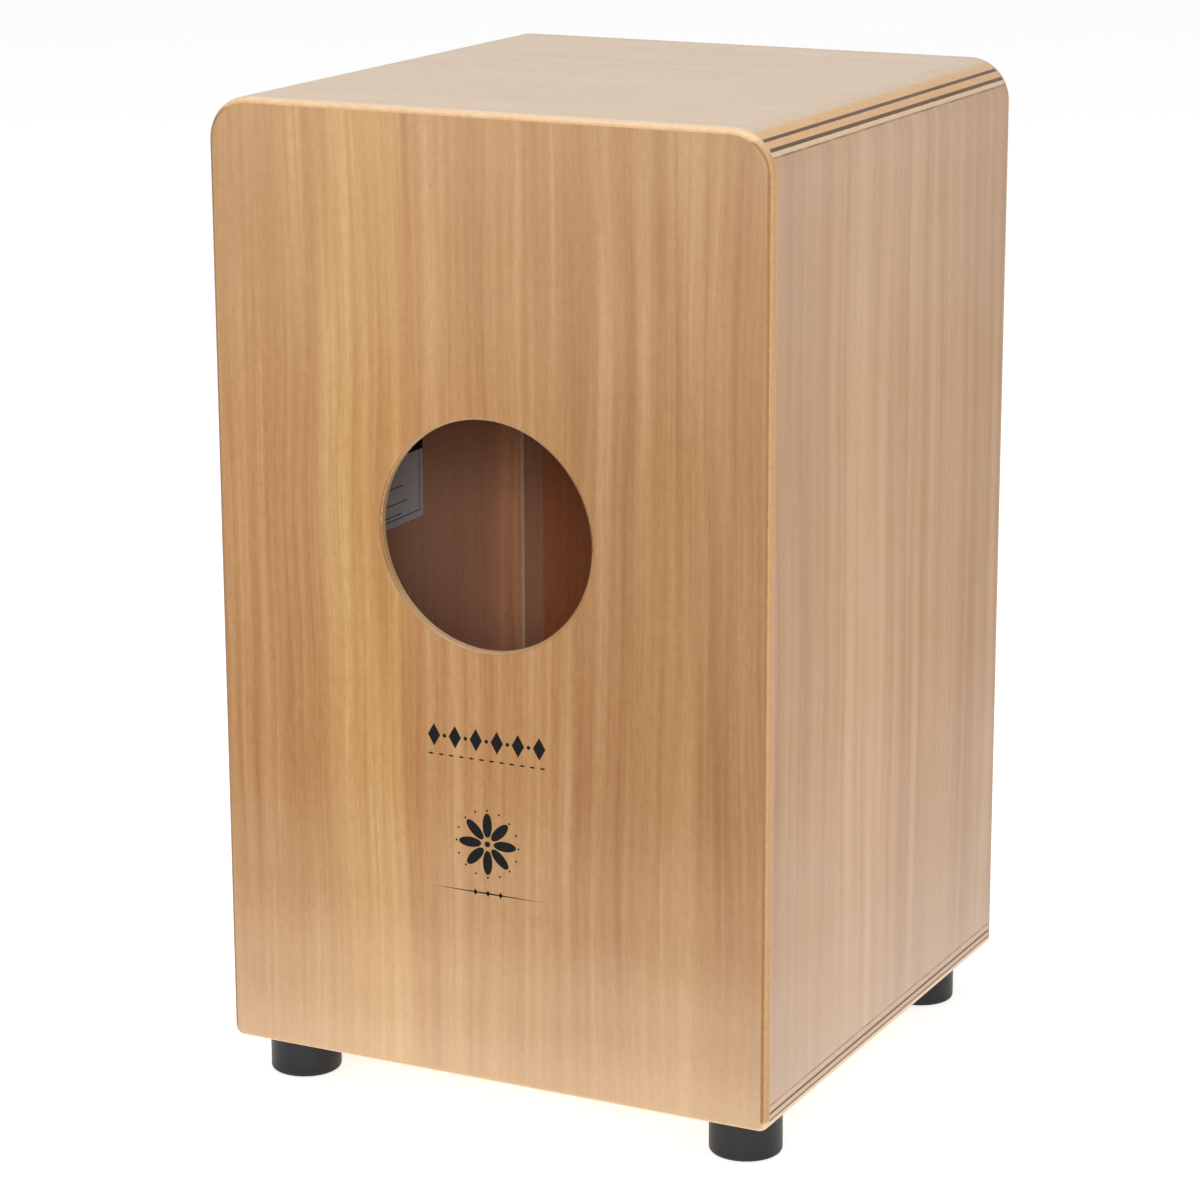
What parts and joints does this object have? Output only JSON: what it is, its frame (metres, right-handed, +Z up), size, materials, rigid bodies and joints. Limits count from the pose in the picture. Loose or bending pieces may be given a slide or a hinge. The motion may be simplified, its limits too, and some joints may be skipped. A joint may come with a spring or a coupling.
{
  "type": "cajon",
  "caption": "Plywood box drum to sit on, with a thin striking plate in front, a round soundhole behind, rubber feet and snare strings tightened from below.",
  "frame": {"origin": "on the floor under the middle of the box, level with the bottom of the feet", "axes": "+Z up to the seat; the thin front plate that is struck faces -Y and the soundhole faces +Y; +X is the right-hand side for someone looking at the front plate"},
  "size_m": [0.3, 0.3, 0.5072],
  "materials": {
    "shell_ply": "birch-cored plywood with a striped red-brown veneer under satin lacquer, plies showing on the edges",
    "rear_ply": "thin plywood with a quarter-cut striped veneer under satin lacquer",
    "front_ply": "thin playing plate, striped veneer, satin lacquer",
    "batten_wood": "planed softwood, unlacquered",
    "block_wood": "planed beech, unlacquered",
    "label_paper": "matt printed paper",
    "foot_rubber": "moulded black rubber, slightly worn on the contact ring",
    "zinc_steel": "zinc plated",
    "black_steel": "black phosphated",
    "brass_fittings": "turned and milled, dull",
    "bolt_steel": "black oxide steel, worn at the socket",
    "string_steel": "plain wound steel guitar string"
  },
  "bodies": {
    "box": {"top_panel": "shell_ply", "bottom_panel": "shell_ply", "left_side_panel": "shell_ply", "right_side_panel": "shell_ply", "rear_panel": "rear_ply", "front_plate": "front_ply", "top_batten": "batten_wood", "left_side_batten": "batten_wood", "right_side_batten": "batten_wood", "left_bottom_batten": "batten_wood", "right_bottom_batten": "batten_wood", "tuning_block": "block_wood", "inner_label": "label_paper", "front_left_foot": "foot_rubber", "front_right_foot": "foot_rubber", "rear_left_foot": "foot_rubber", "rear_right_foot": "foot_rubber", "foot_washers": "zinc_steel", "foot_screws": "zinc_steel", "string_hitch_screws": "zinc_steel", "tuning_block_screws": "zinc_steel", "front_plate_screws": "black_steel", "tuning_bolt_bushings": "brass_fittings", "left_outer_string": "string_steel", "left_inner_string": "string_steel", "right_inner_string": "string_steel", "right_outer_string": "string_steel"},
    "left_bolt": {"left_tuning_bolt": "bolt_steel"},
    "left_carriage": {"left_string_carriage": "brass_fittings"},
    "right_bolt": {"right_tuning_bolt": "bolt_steel"},
    "right_carriage": {"right_string_carriage": "brass_fittings"}
  },
  "joints": [
    {"name": "left_bolt_turn", "type": "hinge", "parent": "box", "child": "left_bolt", "pos_m": [-0.03, -0.1375, 0.0296], "axis": [0, 0, 1], "range_deg": [-1440, 720]},
    {"name": "left_carriage_slide", "type": "slide", "parent": "box", "child": "left_carriage", "axis": [0, 0, 1], "range_m": [-0.002, 0.004], "deforming": ["left_outer_string", "left_inner_string"]},
    {"name": "right_bolt_turn", "type": "hinge", "parent": "box", "child": "right_bolt", "pos_m": [0.03, -0.1375, 0.0296], "axis": [0, 0, 1], "range_deg": [-1440, 720]},
    {"name": "right_carriage_slide", "type": "slide", "parent": "box", "child": "right_carriage", "axis": [0, 0, 1], "range_m": [-0.002, 0.004], "deforming": ["right_outer_string", "right_inner_string"]}
  ],
  "couplings": [
    {"joint": "left_bolt_turn", "follows": "left_carriage_slide", "rad_per_m": -6283.2},
    {"joint": "right_bolt_turn", "follows": "right_carriage_slide", "rad_per_m": -6283.2}
  ]
}
